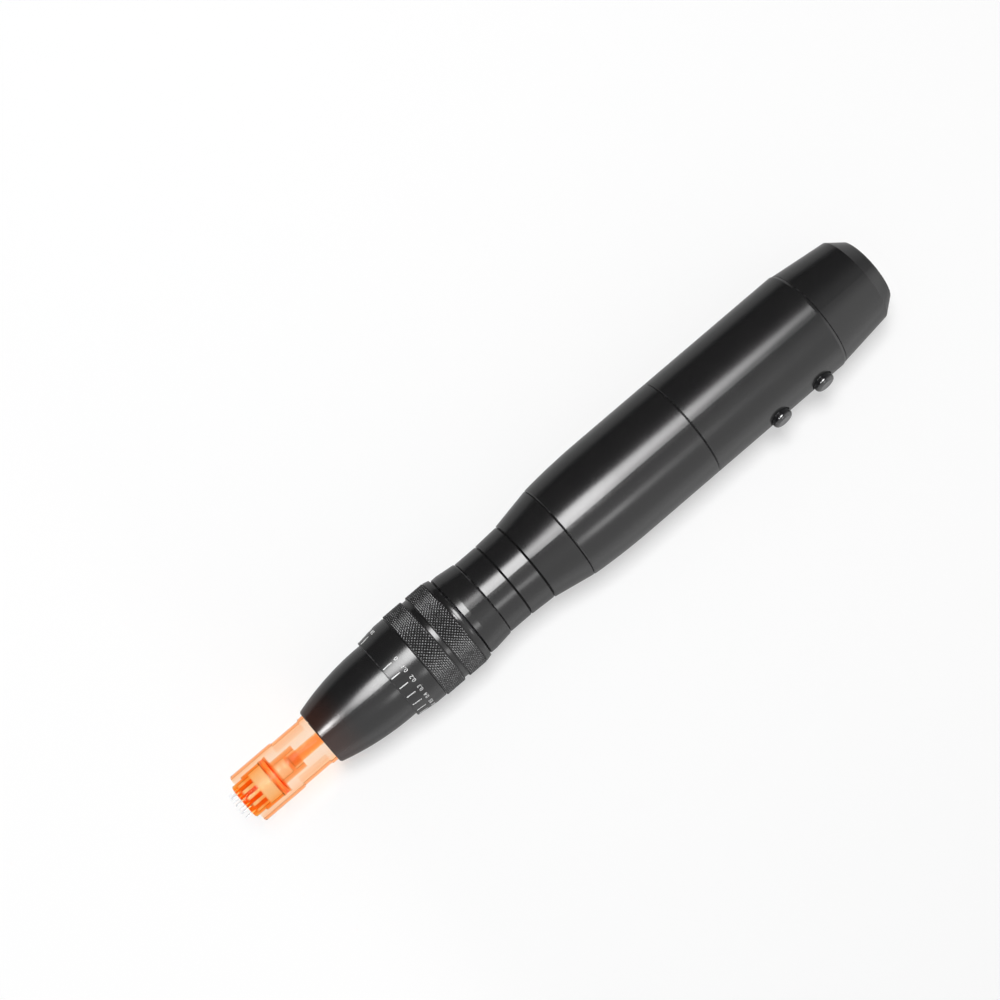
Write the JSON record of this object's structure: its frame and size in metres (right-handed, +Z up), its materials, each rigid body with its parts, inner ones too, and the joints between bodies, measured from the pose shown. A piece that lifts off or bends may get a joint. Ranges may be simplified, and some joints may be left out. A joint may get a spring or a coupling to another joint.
{
  "type": "microneedling pen",
  "caption": "Slim motor driven pen with a clear needle cartridge, a knurled depth ring, a turned neck, a round handle and side buttons.",
  "frame": {"origin": "on the surface that the pen lies on, under the middle of its box", "axes": "+X along the pen from the needles to the tail, +Z up, the buttons on the -Y side"},
  "size_m": [0.1798, 0.0264, 0.025],
  "materials": {
    "black_anodised": "satin black anodised",
    "clear_orange": "clear orange",
    "orange_plastic": "clear orange",
    "seal_orange": "soft",
    "needle_steel": "bright",
    "bush_bronze": "turned",
    "black_rubber": "matte",
    "alloy": "turned",
    "white_acetal": "smooth",
    "black_plastic": "moulded",
    "button_black": "gloss",
    "magnet": "ground",
    "armature_copper": "wound",
    "tab_nickel": "plain",
    "battery_wrap": "wrapped cell",
    "board_green": "solder mask",
    "lead_red": "insulated"
  },
  "bodies": {
    "handle": {"guide_sleeve": "white_acetal", "nose_seal_ring": "black_rubber", "rod_bushes": "bush_bronze", "rod_seal": "black_rubber", "click_washer": "needle_steel", "retaining_ring": "needle_steel", "guide_dowels": "needle_steel", "return_spring": "needle_steel", "motor_can": "needle_steel", "motor_bearings": "bush_bronze", "motor_magnets": "magnet", "motor_end_bell": "black_plastic", "motor_terminals": "tab_nickel", "motor_mount": "alloy", "mount_screws": "needle_steel", "motor_damper": "black_rubber", "collar": "black_anodised", "neck": "black_anodised", "front_shell": "black_anodised", "rear_shell": "black_anodised", "tail_cap": "black_anodised", "joint_gaskets": "black_rubber", "chassis": "black_plastic", "battery": "battery_wrap", "battery_tabs": "tab_nickel", "control_board": "board_green", "board_screws": "needle_steel", "tact_switches": "black_plastic", "board_chips": "black_plastic", "charge_jack": "black_plastic", "jack_retainer": "black_plastic", "end_pad": "black_rubber", "motor_leads": "lead_red", "jack_leads": "lead_red"},
    "depth_ring": {"depth_ring": "black_anodised"},
    "nose": {"nose_cone": "black_anodised", "bayonet_collar": "alloy", "guide_pins": "needle_steel"},
    "cartridge": {"cartridge_barrel": "clear_orange"},
    "drive": {"needle_hub": "orange_plastic", "needles": "needle_steel", "needle_plunger": "orange_plastic", "plunger_seal_ring": "seal_orange", "plunger_pin": "orange_plastic", "push_rod": "alloy", "cam_follower": "white_acetal"},
    "rotor": {"motor_shaft": "needle_steel", "motor_armature": "armature_copper", "commutator": "needle_steel", "drive_cam": "white_acetal"},
    "front_button": {"button_front": "button_black"},
    "back_button": {"button_back": "button_black"}
  },
  "joints": [
    {"name": "depth_ring_turn", "type": "hinge", "parent": "handle", "child": "depth_ring", "pos_m": [-0.0377, 0, 0.0125], "axis": [1, 0, 0], "range_deg": [0, 304]},
    {"name": "nose_slide", "type": "slide", "parent": "handle", "child": "nose", "axis": [-1, 0, 0], "range_m": [0, 0.002]},
    {"name": "cartridge_twist", "type": "hinge", "parent": "nose", "child": "cartridge", "pos_m": [-0.07, 0, 0.0125], "axis": [1, 0, 0], "range_deg": [0, 40]},
    {"name": "needle_drive", "type": "slide", "parent": "handle", "child": "drive", "axis": [1, 0, 0], "range_m": [0, 0.0025], "deforming": ["return_spring"]},
    {"name": "motor_spin", "type": "hinge", "parent": "handle", "child": "rotor", "pos_m": [0.005, 0, 0.0125], "axis": [1, 0, 0], "continuous": true},
    {"name": "front_button_press", "type": "slide", "parent": "handle", "child": "front_button", "axis": [0, 0.9511, -0.309], "range_m": [0, 0.0005], "stiffness_N_per_m": 800},
    {"name": "back_button_press", "type": "slide", "parent": "handle", "child": "back_button", "axis": [0, 0.9511, -0.309], "range_m": [0, 0.0005], "stiffness_N_per_m": 800}
  ],
  "couplings": [
    {"joint": "nose_slide", "follows": "depth_ring_turn", "m_per_rad": 0.00037694}
  ]
}
